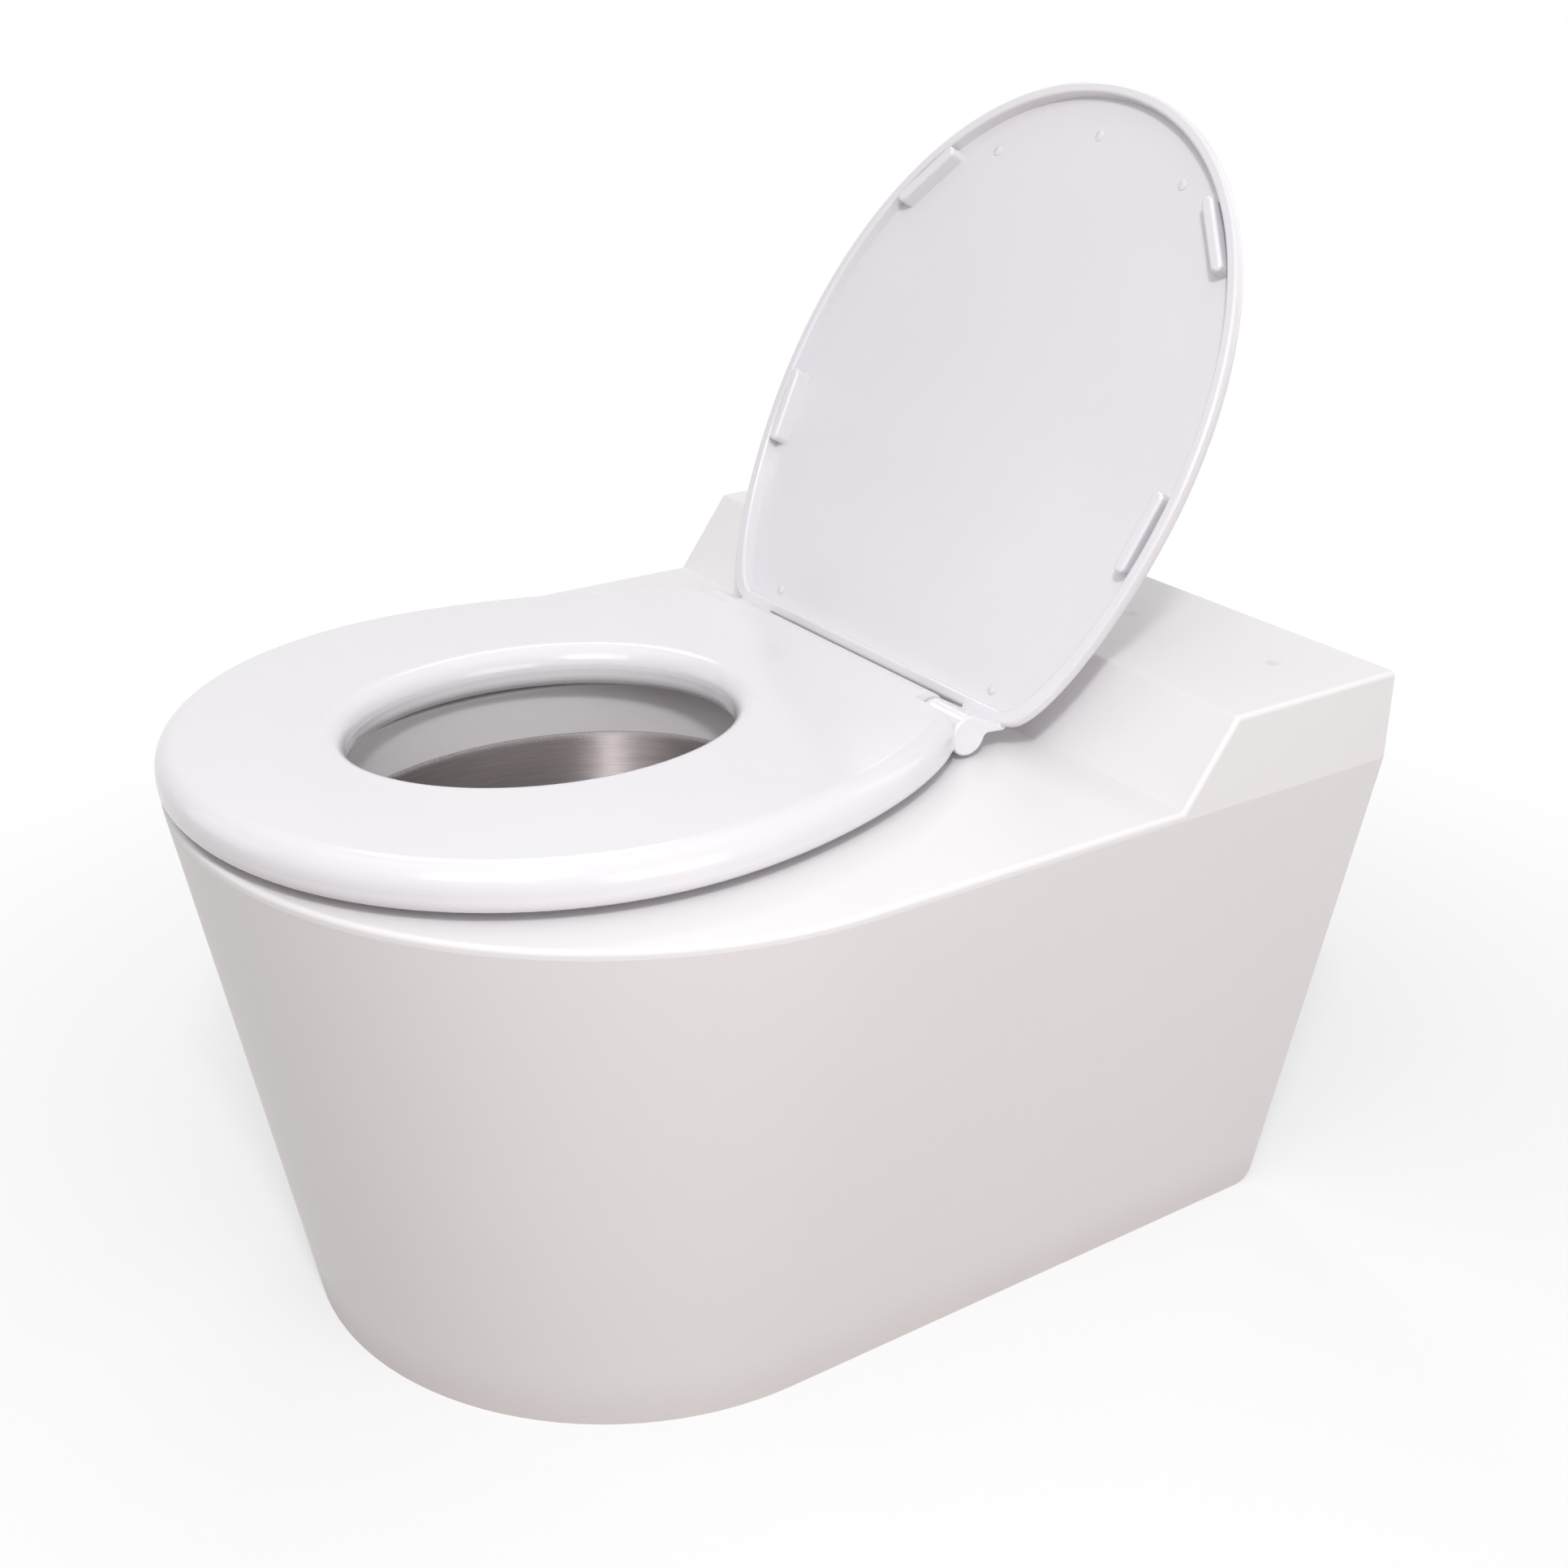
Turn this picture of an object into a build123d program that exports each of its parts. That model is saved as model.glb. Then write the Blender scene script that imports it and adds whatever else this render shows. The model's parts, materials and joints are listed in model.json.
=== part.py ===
from build123d import *
from math import atan2, cos, degrees, radians, sin
import os

os.makedirs("parts", exist_ok=True)

# Bariatric toilet: a white-coated welded steel pan with a wide moulded seat and lid.
# Millimetres. X across, +Z up, the wall behind at +Y, the front of the pan towards -Y.
# The origin is on the floor, at the centre of the four floor bolts.

# Pan: a tapered skirt with a half-round front, under a flat deck with a raised rear ledge
deck_height = 400.0
top_width = 604.0
base_width = 454.0
front_centre_y = -225.0
wall_y = 220.0
sheet = 2.5
lip_height = 6.0
edge_radius = 3.5
rear_foot_radius = 14.0
ledge_rise = 58.0
ledge_top_depth = 152.0
slope_foot_depth = 194.0

# Bowl opening, bowl and trap
mouth_half_width = 125.0
mouth_half_length = 165.0
bowl_centre_y = -270.0
collar_depth = 38.0
mouth_edge_radius = 2.0
sump_y = -235.0
throat_height = 120.0
trap_radius = 38.0
trap_wall = 2.0
trap_bottom = 52.0
trap_rise_y = -110.0
trap_bend = 60.0
outlet_height = 190.0
outlet_radius = 51.0
outlet_length = 62.0
outlet_cone = 30.0
outlet_end_y = 208.0

# Shares of the bowl's depth, and of its spread from the trap out to the collar
bowl_profile = ((0.0, 1.0), (0.26, 0.92), (0.57, 0.64), (0.81, 0.25), (1.0, 0.0))

# Flushing water inlet, high in the back of the bowl
inlet_below_collar = 32.0
inlet_radius = 27.5
inlet_wall = 2.5
inlet_end_y = 208.0
inlet_collar_radius = 31.0
inlet_collar_length = 8.0
inlet_collar_y = 150.0

# Base and wall flanges, and the posts that carry the deck
flange_width = 35.0
flange_thickness = 3.0
flange_back_y = 200.0
floor_hole_radius = 6.5
floor_hole_spacing_y = 240.0
wall_flange_bottom = 22.0
wall_flange_top_gap = 6.0
wall_hole_radius = 5.5
wall_hole_spacing_z = 230.0
wall_hole_height = 205.0
brace_depth = 20.0
brace_width = 40.0
brace_wall = 2.5
brace_edge_gap = 0.5
brace_ys = {"front": -225.0, "rear": 5.0}

# Hinge: one steel rod on two posts, bolted through the deck under the back of the seat
hinge_y = -37.0
hinge_rise = 18.0
rod_radius = 5.0
rod_end_gap = 1.0
running_gap = 0.06
post_spacing = 155.0
post_width = 24.0
post_head_radius = 11.0
post_waist = 16.0
post_foot_length = 26.0
post_foot_thickness = 2.0
gasket_thickness = 1.0
stud_radius = 5.0
stud_length = 52.0
stud_into_post = 7.0
stud_hole_clearance = 1.0
washer_radius = 14.0
washer_thickness = 2.0
nut_across_flats = 17.0
nut_height = 8.0

# Seat ring
seat_gap = 7.0
seat_thickness = 30.0
seat_half_width = 238.0
seat_widest_y = -284.0
seat_front_y = -532.0
seat_back_half_width = 119.0
seat_back_y = -26.0
seat_fullness = 0.565
seat_back_fullness = 0.44
seat_hole_half_width = 108.0
seat_hole_half_length = 137.0
seat_hole_y = -277.0
seat_top_radius = 16.0
seat_bottom_radius = 9.0
shoulder_gap = 2.0
tongue_half_width = 116.5
slot_clearance = 1.0
slot_front_gap = 24.0
slot_skin = 5.5
bush_radius = 8.0
seat_bush_length = 14.0
bumper_length = 44.0
bumper_width = 16.0
rest_gap = 0.3
bumper_places = ((173.0, -205.0, 88.0), (142.0, -412.0, 50.0))

# Lid, given as it stands when open: leaning back past upright
lid_open_angle = 118.0
lid_half_width = 222.0
lid_widest = 205.0
lid_length = 464.0
lid_base = 15.0
lid_base_half_width = 158.0
lid_fullness = 0.58
lid_base_fullness = 0.45
lid_rim_gap = 3.0
lid_depth = 14.0
lid_skin = 4.0
lid_rim_width = 8.0
lid_rim_radius = 2.0
lid_outer_radius = 9.0
buffer_length = 60.0
buffer_width = 9.0
buffer_rim_gap = 4.0
buffer_edge_radius = 2.5
buffer_tip_share = 0.5
buffer_side_share = 0.18
ear_inner = 118.0
ear_width = 40.0
ear_radius = 14.5
ear_edge_radius = 2.0
ear_corner_radius = 4.0
ear_root_back = 12.5
ear_root_sink = 6.0
ear_reach = 46.0
cap_length = 6.0

# Places worked out from the sizes above
top_half = top_width / 2
base_half = base_width / 2
skirt_height = deck_height - lip_height
ledge_height = deck_height + ledge_rise
deck_under = deck_height - sheet
slope_foot_y = wall_y - slope_foot_depth
ledge_front_y = wall_y - ledge_top_depth
collar_bottom = deck_height - collar_depth
bowl_depth = collar_bottom - throat_height
inlet_height = collar_bottom - inlet_below_collar
hinge_z = deck_height + hinge_rise
seat_bottom = deck_height + seat_gap
seat_top = seat_bottom + seat_thickness
seat_top_over_hinge = seat_top - hinge_z
rim_level = seat_top_over_hinge + rest_gap + lid_rim_gap
lid_back_level = rim_level + lid_depth
ear_root_level = lid_back_level - ear_root_sink
bore_radius = rod_radius + running_gap
shoulder_y = hinge_y - ear_radius - shoulder_gap
ear_outer = ear_inner + ear_width
stud_top = deck_height + gasket_thickness + stud_into_post
lean = radians(lid_open_angle - 90)
hinge_point = Vector(0, hinge_y, hinge_z)
lid_up = Vector(0, sin(lean), cos(lean))
lid_out = Vector(0, cos(lean), -sin(lean))
lid_plane = Plane(origin=hinge_point, x_dir=(-1, 0, 0), z_dir=lid_out)
lid_side_plane = Plane(origin=hinge_point, x_dir=lid_up, z_dir=(-1, 0, 0))
side_plane = Plane.YZ


def inner_half(height, inset=0.0):
    """Half the inside width of the tapered skirt at a height."""
    taper = (top_half - base_half) / skirt_height
    return base_half + taper * height - sheet - inset


def pan_outline(half_width, back_y):
    """Sketch with straight sides and a half-round front."""
    with BuildSketch(Plane.XY, mode=Mode.PRIVATE) as outline:
        with BuildLine():
            Line((half_width, back_y), (half_width, front_centre_y))
            ThreePointArc(
                (half_width, front_centre_y),
                (0, front_centre_y - half_width),
                (-half_width, front_centre_y),
            )
            Line((-half_width, front_centre_y), (-half_width, back_y))
            Line((-half_width, back_y), (half_width, back_y))
        make_face()
    return outline.sketch_local


def oval_curves(half_width, widest, tip, base_half_width, base, tip_fullness, base_fullness):
    """Bezier points of one side of a seat or lid: tip to widest place, and on to the base."""
    tip_handle = (tip - widest) * tip_fullness
    base_handle = (base - widest) * base_fullness
    base_corner = base_half_width + (half_width - base_half_width) * base_fullness
    tip_curve = (
        Vector(0, tip),
        Vector(half_width * tip_fullness, tip),
        Vector(half_width, widest + tip_handle),
        Vector(half_width, widest),
    )
    side_curve = (
        Vector(half_width, widest),
        Vector(half_width, widest + base_handle),
        Vector(base_corner, base),
        Vector(base_half_width, base),
    )
    return tip_curve, side_curve


def oval_outline(curves):
    """Sketch of a seat or lid: a full round tip and a narrower straight base."""
    with BuildSketch(Plane.XY, mode=Mode.PRIVATE) as outline:
        with BuildLine():
            for curve in curves:
                Bezier(*curve)
                Bezier(*[Vector(-point.X, point.Y) for point in curve])
            base_end = curves[-1][-1]
            Line((-base_end.X, base_end.Y), (base_end.X, base_end.Y))
        make_face()
    return outline.sketch_local


def base_bend(curves):
    """Tightest bend of an oval, where its side turns into the straight base."""
    widest_end, widest_handle, corner, base_end = curves[-1]
    return 1.5 * (corner.X - base_end.X) ** 2 / abs(widest_handle.Y - base_end.Y)


def hinge_sketch_plane(x):
    """Upright plane across the hinge rod at a distance from the centre line."""
    return Plane(origin=(x, hinge_y, hinge_z), x_dir=(0, 1, 0), z_dir=(1, 0, 0))


# Half widths at the foot that the flanges, their holes and the braces share
flange_inner = inner_half(0, flange_width)
flange_middle = inner_half(0, flange_width / 2)
brace_x = flange_inner + brace_edge_gap + brace_depth / 2

# Skirt: one wrapped sheet, open at the wall, the floor and the deck
with BuildPart() as skirt:
    with BuildSketch(Plane.XY):
        add(pan_outline(base_half, wall_y))
    with BuildSketch(Plane.XY.offset(skirt_height)):
        add(pan_outline(top_half, wall_y))
    loft(ruled=True)
    rear_foot = skirt.edges().filter_by(Axis.X).sort_by(Axis.Z)[0]
    fillet(rear_foot, radius=rear_foot_radius)
    with BuildSketch(Plane.XY):
        add(pan_outline(base_half - sheet, wall_y + sheet))
    with BuildSketch(Plane.XY.offset(skirt_height)):
        add(pan_outline(top_half - sheet, wall_y + sheet))
    loft(ruled=True, mode=Mode.SUBTRACT)
skirt.part.label = "skirt"
export_step(skirt.part, "parts/skirt.step")

# Deck plate: folded lip round the edge, and a drawn collar into the bowl
with BuildPart() as deck_plate:
    with BuildSketch(Plane.XY.offset(skirt_height)):
        add(pan_outline(top_half, slope_foot_y))
    extrude(amount=lip_height)
    top_edges = deck_plate.faces().sort_by(Axis.Z)[-1].edges()
    fillet(top_edges.sort_by(Axis.Y)[:-1], radius=edge_radius)
    with BuildSketch(Plane.XY.offset(skirt_height)):
        add(pan_outline(top_half - sheet, slope_foot_y))
    extrude(amount=lip_height - sheet, mode=Mode.SUBTRACT)
    with BuildSketch(Plane.XY.offset(collar_bottom)):
        with Locations((0, bowl_centre_y)):
            Ellipse(mouth_half_width + sheet, mouth_half_length + sheet)
    extrude(amount=collar_depth)
    with BuildSketch(Plane.XY.offset(collar_bottom)):
        with Locations((0, bowl_centre_y)):
            Ellipse(mouth_half_width, mouth_half_length)
    extrude(amount=collar_depth, mode=Mode.SUBTRACT)
    mouth_edge = deck_plate.faces().sort_by(Axis.Z)[-1].inner_wires()[0].edges()
    fillet(mouth_edge, radius=mouth_edge_radius)
    with BuildSketch(Plane.XY.offset(deck_height)):
        with GridLocations(post_spacing, 0, 2, 1):
            with Locations((0, hinge_y)):
                Circle(stud_radius + stud_hole_clearance)
    extrude(amount=-sheet, mode=Mode.SUBTRACT)
deck_plate.part.label = "deck_plate"
export_step(deck_plate.part, "parts/deck_plate.step")

# Ledge cover: a folded box against the wall with a sloped front, open behind and below
with BuildPart() as ledge_cover:
    with BuildSketch(side_plane):
        with BuildLine():
            Polyline(
                (wall_y, skirt_height),
                (wall_y, ledge_height),
                (ledge_front_y, ledge_height),
                (slope_foot_y, deck_height),
                (slope_foot_y, skirt_height),
                close=True,
            )
        make_face()
    extrude(amount=top_half, both=True)
    end_folds = ledge_cover.faces().filter_by(Axis.X).edges()
    upper_folds = end_folds.filter_by(lambda edge: edge.center().Z > deck_height)
    side_folds = upper_folds.filter_by(lambda edge: edge.center().Y < wall_y - sheet)
    front_fold = ledge_cover.edges().filter_by(Axis.X).group_by(Axis.Z)[-1].sort_by(Axis.Y)[0]
    fillet(side_folds + [front_fold], radius=edge_radius)
    with BuildSketch(side_plane):
        with BuildLine():
            Polyline(
                (wall_y + ledge_rise, 0),
                (wall_y + ledge_rise, ledge_height),
                (ledge_front_y, ledge_height),
                (slope_foot_y, deck_height),
                (slope_foot_y, 0),
                close=True,
            )
        make_face()
        offset(amount=-sheet, kind=Kind.INTERSECTION, mode=Mode.REPLACE)
    extrude(amount=top_half - sheet, both=True, mode=Mode.SUBTRACT)
ledge_cover.part.label = "ledge_cover"
export_step(ledge_cover.part, "parts/ledge_cover.step")

# Base flange: turned in round the foot of the skirt, with holes for floor bolts
with BuildPart() as base_flange:
    with BuildSketch(Plane.XY):
        add(pan_outline(inner_half(0), flange_back_y))
    extrude(amount=flange_thickness)
    with BuildSketch(Plane.XY):
        add(pan_outline(flange_inner, flange_back_y))
    extrude(amount=flange_thickness, mode=Mode.SUBTRACT)
    with BuildSketch(Plane.XY):
        with GridLocations(2 * flange_middle, floor_hole_spacing_y, 2, 2):
            Circle(floor_hole_radius)
    extrude(amount=flange_thickness, mode=Mode.SUBTRACT)
base_flange.part.label = "base_flange"
export_step(base_flange.part, "parts/base_flange.step")

# Wall flanges: one down each rear edge of the skirt, with a straight inner edge
wall_flange_top = skirt_height - wall_flange_top_gap
for side, name in ((1, "wall_flange_right"), (-1, "wall_flange_left")):
    with BuildPart() as wall_flange:
        with BuildSketch(Plane.XZ.offset(-wall_y)):
            with BuildLine():
                Polyline(
                    (side * inner_half(wall_flange_bottom), wall_flange_bottom),
                    (side * inner_half(wall_flange_top), wall_flange_top),
                    (side * flange_inner, wall_flange_top),
                    (side * flange_inner, wall_flange_bottom),
                    close=True,
                )
            make_face()
            with Locations((side * flange_middle, wall_hole_height)):
                with GridLocations(0, wall_hole_spacing_z, 1, 2):
                    Circle(wall_hole_radius, mode=Mode.SUBTRACT)
        extrude(amount=flange_thickness)
    wall_flange.part.label = name
    export_step(wall_flange.part, f"parts/{name}.step")

# Braces: folded channels that carry the deck down to the base flange
for place, brace_y in brace_ys.items():
    for side, hand in ((1, "right"), (-1, "left")):
        with BuildPart() as brace:
            with BuildSketch(Plane.XY.offset(flange_thickness)):
                with Locations((side * brace_x, brace_y)):
                    Rectangle(brace_depth, brace_width)
                with Locations((side * (brace_x - brace_wall), brace_y)):
                    Rectangle(brace_depth, brace_width - 2 * brace_wall, mode=Mode.SUBTRACT)
            extrude(amount=deck_under - flange_thickness)
        brace.part.label = f"brace_{hand}_{place}"
        export_step(brace.part, f"parts/brace_{hand}_{place}.step")


# Bowl: spun steel well from the collar to the trap
def bowl_skin(inset):
    """Solid inside one skin of the bowl."""
    with BuildPart(mode=Mode.PRIVATE) as skin:
        for down, spread in bowl_profile:
            half_width = trap_radius + spread * (mouth_half_width + sheet - trap_radius)
            half_length = trap_radius + spread * (mouth_half_length + sheet - trap_radius)
            with BuildSketch(Plane.XY.offset(collar_bottom - down * bowl_depth)):
                with Locations((0, sump_y + spread * (bowl_centre_y - sump_y))):
                    Ellipse(half_width - inset, half_length - inset)
        loft()
    return skin.part


bowl_outside = bowl_skin(0)
with BuildPart() as bowl:
    add(bowl_outside)
    add(bowl_skin(trap_wall), mode=Mode.SUBTRACT)
    with BuildSketch(Plane.XZ.offset(-bowl_centre_y)):
        with Locations((0, inlet_height)):
            Circle(inlet_radius - inlet_wall)
    extrude(amount=bowl_centre_y - inlet_end_y, mode=Mode.SUBTRACT)
bowl.part.label = "bowl"
export_step(bowl.part, "parts/bowl.step")

# Trap: one bent tube, down from the bowl, up over the weir and back to the wall
outlet_start_y = outlet_end_y - outlet_length - outlet_cone
with BuildPart() as trap:
    with BuildLine(side_plane) as trap_path:
        FilletPolyline(
            (sump_y, throat_height),
            (sump_y, trap_bottom),
            (trap_rise_y, trap_bottom),
            (trap_rise_y, outlet_height),
            (outlet_start_y, outlet_height),
            radius=trap_bend,
        )
    with BuildSketch(Plane(origin=(0, sump_y, throat_height), z_dir=(0, 0, -1))):
        Circle(trap_radius)
        Circle(trap_radius - trap_wall, mode=Mode.SUBTRACT)
    sweep(path=trap_path.line)
trap.part.label = "trap"
export_step(trap.part, "parts/trap.step")

# Outlet spigot: widens from the trap to the drain size, with a bead at its end
with BuildPart() as outlet_spigot:
    cone_end_y = outlet_start_y + outlet_cone
    with BuildSketch(side_plane):
        with BuildLine():
            Polyline(
                (outlet_start_y, outlet_height + trap_radius),
                (cone_end_y, outlet_height + outlet_radius),
                (outlet_end_y, outlet_height + outlet_radius),
                (outlet_end_y, outlet_height + outlet_radius - sheet),
                (cone_end_y, outlet_height + outlet_radius - sheet),
                (outlet_start_y, outlet_height + trap_radius - trap_wall),
                close=True,
            )
        make_face()
    revolve(axis=Axis((0, 0, outlet_height), (0, 1, 0)))
outlet_spigot.part.label = "outlet_spigot"
export_step(outlet_spigot.part, "parts/outlet_spigot.step")

# Inlet pipe: carries the flush water from the wall to the back of the bowl
with BuildPart() as inlet_pipe:
    with BuildSketch(Plane.XZ.offset(-inlet_end_y)):
        with Locations((0, inlet_height)):
            Circle(inlet_radius)
    extrude(amount=inlet_end_y - bowl_centre_y)
    with BuildSketch(Plane.XZ.offset(-inlet_collar_y)):
        with Locations((0, inlet_height)):
            Circle(inlet_collar_radius)
    extrude(amount=inlet_collar_length)
    with BuildSketch(Plane.XZ.offset(-inlet_end_y)):
        with Locations((0, inlet_height)):
            Circle(inlet_radius - inlet_wall)
    extrude(amount=inlet_end_y - bowl_centre_y, mode=Mode.SUBTRACT)
    add(bowl_outside, mode=Mode.SUBTRACT)
    with BuildSketch(Plane.XY.offset(collar_bottom)):
        with Locations((0, bowl_centre_y)):
            Ellipse(mouth_half_width + sheet, mouth_half_length + sheet)
    extrude(amount=collar_depth, mode=Mode.SUBTRACT)
inlet_pipe.part.label = "inlet_pipe"
export_step(inlet_pipe.part, "parts/inlet_pipe.step")

# Hinge posts: a round head on a waisted block, one each side
foot_top = deck_height + gasket_thickness + post_foot_thickness
for side, name in ((1, "hinge_post_right"), (-1, "hinge_post_left")):
    with BuildPart() as hinge_post:
        with BuildSketch(hinge_sketch_plane(side * post_spacing / 2)):
            Circle(post_head_radius)
            with Locations((0, (foot_top - hinge_z) / 2)):
                Rectangle(post_waist, hinge_z - foot_top)
            with Locations((0, foot_top - hinge_z - post_foot_thickness / 2)):
                Rectangle(post_foot_length, post_foot_thickness)
            Circle(bore_radius, mode=Mode.SUBTRACT)
        extrude(amount=post_width / 2, both=True)
        with BuildSketch(Plane.XY.offset(deck_height + gasket_thickness)):
            with Locations((side * post_spacing / 2, hinge_y)):
                Circle(stud_radius)
        extrude(amount=stud_into_post, mode=Mode.SUBTRACT)
    hinge_post.part.label = name
    export_step(hinge_post.part, f"parts/{name}.step")

with BuildPart() as hinge_gaskets:
    with BuildSketch(Plane.XY.offset(deck_height)):
        with Locations((post_spacing / 2, hinge_y), (-post_spacing / 2, hinge_y)):
            Rectangle(post_width, post_foot_length)
            Circle(stud_radius + stud_hole_clearance, mode=Mode.SUBTRACT)
    extrude(amount=gasket_thickness)
hinge_gaskets.part.label = "hinge_gaskets"
export_step(hinge_gaskets.part, "parts/hinge_gaskets.step")

with BuildPart() as hinge_studs:
    with BuildSketch(Plane.XY.offset(stud_top - stud_length)):
        with Locations((post_spacing / 2, hinge_y), (-post_spacing / 2, hinge_y)):
            Circle(stud_radius)
    extrude(amount=stud_length)
    chamfer(hinge_studs.edges().group_by(Axis.Z)[0], length=1)
hinge_studs.part.label = "hinge_studs"
export_step(hinge_studs.part, "parts/hinge_studs.step")

with BuildPart() as hinge_washers:
    with BuildSketch(Plane.XY.offset(deck_under - washer_thickness)):
        with Locations((post_spacing / 2, hinge_y), (-post_spacing / 2, hinge_y)):
            Circle(washer_radius)
            Circle(stud_radius + stud_hole_clearance, mode=Mode.SUBTRACT)
    extrude(amount=washer_thickness)
hinge_washers.part.label = "hinge_washers"
export_step(hinge_washers.part, "parts/hinge_washers.step")

with BuildPart() as hinge_nuts:
    with BuildSketch(Plane.XY.offset(deck_under - washer_thickness - nut_height)):
        with Locations((post_spacing / 2, hinge_y), (-post_spacing / 2, hinge_y)):
            RegularPolygon(nut_across_flats / 2, 6, major_radius=False)
            Circle(stud_radius, mode=Mode.SUBTRACT)
    extrude(amount=nut_height)
hinge_nuts.part.label = "hinge_nuts"
export_step(hinge_nuts.part, "parts/hinge_nuts.step")

with BuildPart() as hinge_rod:
    with BuildSketch(hinge_sketch_plane(0)):
        Circle(rod_radius)
    extrude(amount=ear_outer - cap_length - rod_end_gap, both=True)
    chamfer(hinge_rod.edges(), length=0.8)
hinge_rod.part.label = "hinge_rod"
export_step(hinge_rod.part, "parts/hinge_rod.step")

# Seat ring: thick, rounded all round, with a hinge tongue between two cut-away shoulders
seat_curves = oval_curves(
    seat_half_width,
    seat_widest_y,
    seat_front_y,
    seat_back_half_width,
    seat_back_y,
    seat_fullness,
    seat_back_fullness,
)
with BuildPart() as seat_ring:
    with BuildSketch(Plane.XY.offset(seat_bottom)):
        add(oval_outline(seat_curves))
        with Locations((0, seat_hole_y)):
            Ellipse(seat_hole_half_width, seat_hole_half_length, mode=Mode.SUBTRACT)
    extrude(amount=seat_thickness)
    fillet(seat_ring.faces().sort_by(Axis.Z)[-1].edges(), radius=seat_top_radius)
    fillet(seat_ring.faces().sort_by(Axis.Z)[0].edges(), radius=seat_bottom_radius)
    for side in (1, -1):
        with BuildSketch(Plane.XY.offset(seat_bottom)):
            with Locations((side * (tongue_half_width + seat_half_width) / 2, shoulder_y)):
                Rectangle(
                    seat_half_width - tongue_half_width,
                    seat_back_y - shoulder_y,
                    align=(Align.CENTER, Align.MIN),
                )
        extrude(amount=seat_thickness, mode=Mode.SUBTRACT)
    with BuildSketch(Plane.XY.offset(seat_bottom)):
        with Locations((post_spacing / 2, seat_back_y), (-post_spacing / 2, seat_back_y)):
            Rectangle(
                post_width + 2 * slot_clearance,
                seat_back_y - hinge_y + slot_front_gap,
                align=(Align.CENTER, Align.MAX),
            )
    extrude(amount=seat_thickness - slot_skin, mode=Mode.SUBTRACT)
    with BuildSketch(hinge_sketch_plane(0)):
        Circle(rod_radius + rest_gap)
    extrude(amount=tongue_half_width, both=True, mode=Mode.SUBTRACT)
    for side in (1, -1):
        with BuildSketch(hinge_sketch_plane(side * tongue_half_width)):
            Circle(bush_radius)
        extrude(amount=-side * seat_bush_length, mode=Mode.SUBTRACT)
seat_ring.part.label = "seat_ring"
export_step(seat_ring.part, "parts/seat_ring.step")

with BuildPart() as seat_bushes:
    for side in (1, -1):
        with BuildSketch(hinge_sketch_plane(side * tongue_half_width)):
            Circle(bush_radius)
            Circle(bore_radius, mode=Mode.SUBTRACT)
        extrude(amount=-side * seat_bush_length)
seat_bushes.part.label = "seat_bushes"
export_step(seat_bushes.part, "parts/seat_bushes.step")

# Seat bumpers: four rubber feet let into the underside of the ring
with BuildPart() as seat_bumpers:
    with BuildSketch(Plane.XY.offset(deck_height + rest_gap)):
        for place_x, place_y, turn in bumper_places:
            with Locations(Location((place_x, place_y), turn), Location((-place_x, place_y), -turn)):
                SlotOverall(bumper_length, bumper_width)
    extrude(amount=seat_gap - rest_gap)
seat_bumpers.part.label = "seat_bumpers"
export_step(seat_bumpers.part, "parts/seat_bumpers.step")

# Lid: a shallow moulded shell, its rim and recess facing the seat, with two hinge ears
lid_curves = oval_curves(
    lid_half_width,
    lid_widest,
    lid_length,
    lid_base_half_width,
    lid_base,
    lid_fullness,
    lid_base_fullness,
)
recess_curves = oval_curves(
    lid_half_width - lid_rim_width,
    lid_widest,
    lid_length - lid_rim_width,
    lid_base_half_width - lid_rim_width,
    lid_base + lid_rim_width,
    lid_fullness,
    lid_base_fullness,
)


def lid_ear(side):
    """Hinge ear: a round eye on a neck that runs up into the back of the lid."""
    with BuildPart(mode=Mode.PRIVATE) as ear:
        with BuildSketch(lid_side_plane.offset(-side * ear_inner)) as ear_outline:
            Circle(ear_radius)
            with BuildLine():
                Polyline(
                    (0, 0),
                    (ear_root_back, ear_root_level),
                    (ear_reach, ear_root_level),
                    (ear_reach, rim_level),
                    (ear_radius, rim_level),
                    (ear_radius, 0),
                    close=True,
                )
            make_face()
            fillet(ear_outline.vertices().sort_by(Axis.X)[:2], radius=ear_corner_radius)
        extrude(amount=-side * ear_width)
        outer_face = ear.faces().filter_by(Axis.X).sort_by(lambda face: -side * face.center().X)[0]
        fillet(outer_face.edges(), radius=ear_edge_radius)
    return ear.part


with BuildPart() as lid_shell:
    with BuildSketch(lid_plane.offset(rim_level)):
        add(oval_outline(lid_curves))
    extrude(amount=lid_depth)
    back_face = lid_shell.faces().sort_by(Axis(hinge_point, lid_out))[-1]
    fillet(back_face.edges(), radius=min(lid_outer_radius, 0.8 * base_bend(lid_curves)))
    front_face = lid_shell.faces().sort_by(Axis(hinge_point, lid_out))[0]
    fillet(front_face.edges(), radius=lid_rim_radius)
    add(lid_ear(1))
    add(lid_ear(-1))
    with BuildSketch(lid_plane.offset(rim_level)):
        add(oval_outline(recess_curves))
    extrude(amount=lid_depth - lid_skin, mode=Mode.SUBTRACT)
    rim_face = lid_shell.faces().filter_by(lid_plane).sort_by(Axis(hinge_point, lid_out))[0]
    fillet(rim_face.inner_wires()[0].edges(), radius=lid_rim_radius)
    with BuildSketch(hinge_sketch_plane(0)):
        Circle(bush_radius)
    extrude(amount=ear_outer, both=True, mode=Mode.SUBTRACT)
lid_shell.part.label = "lid_shell"
export_step(lid_shell.part, "parts/lid_shell.step")

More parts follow.
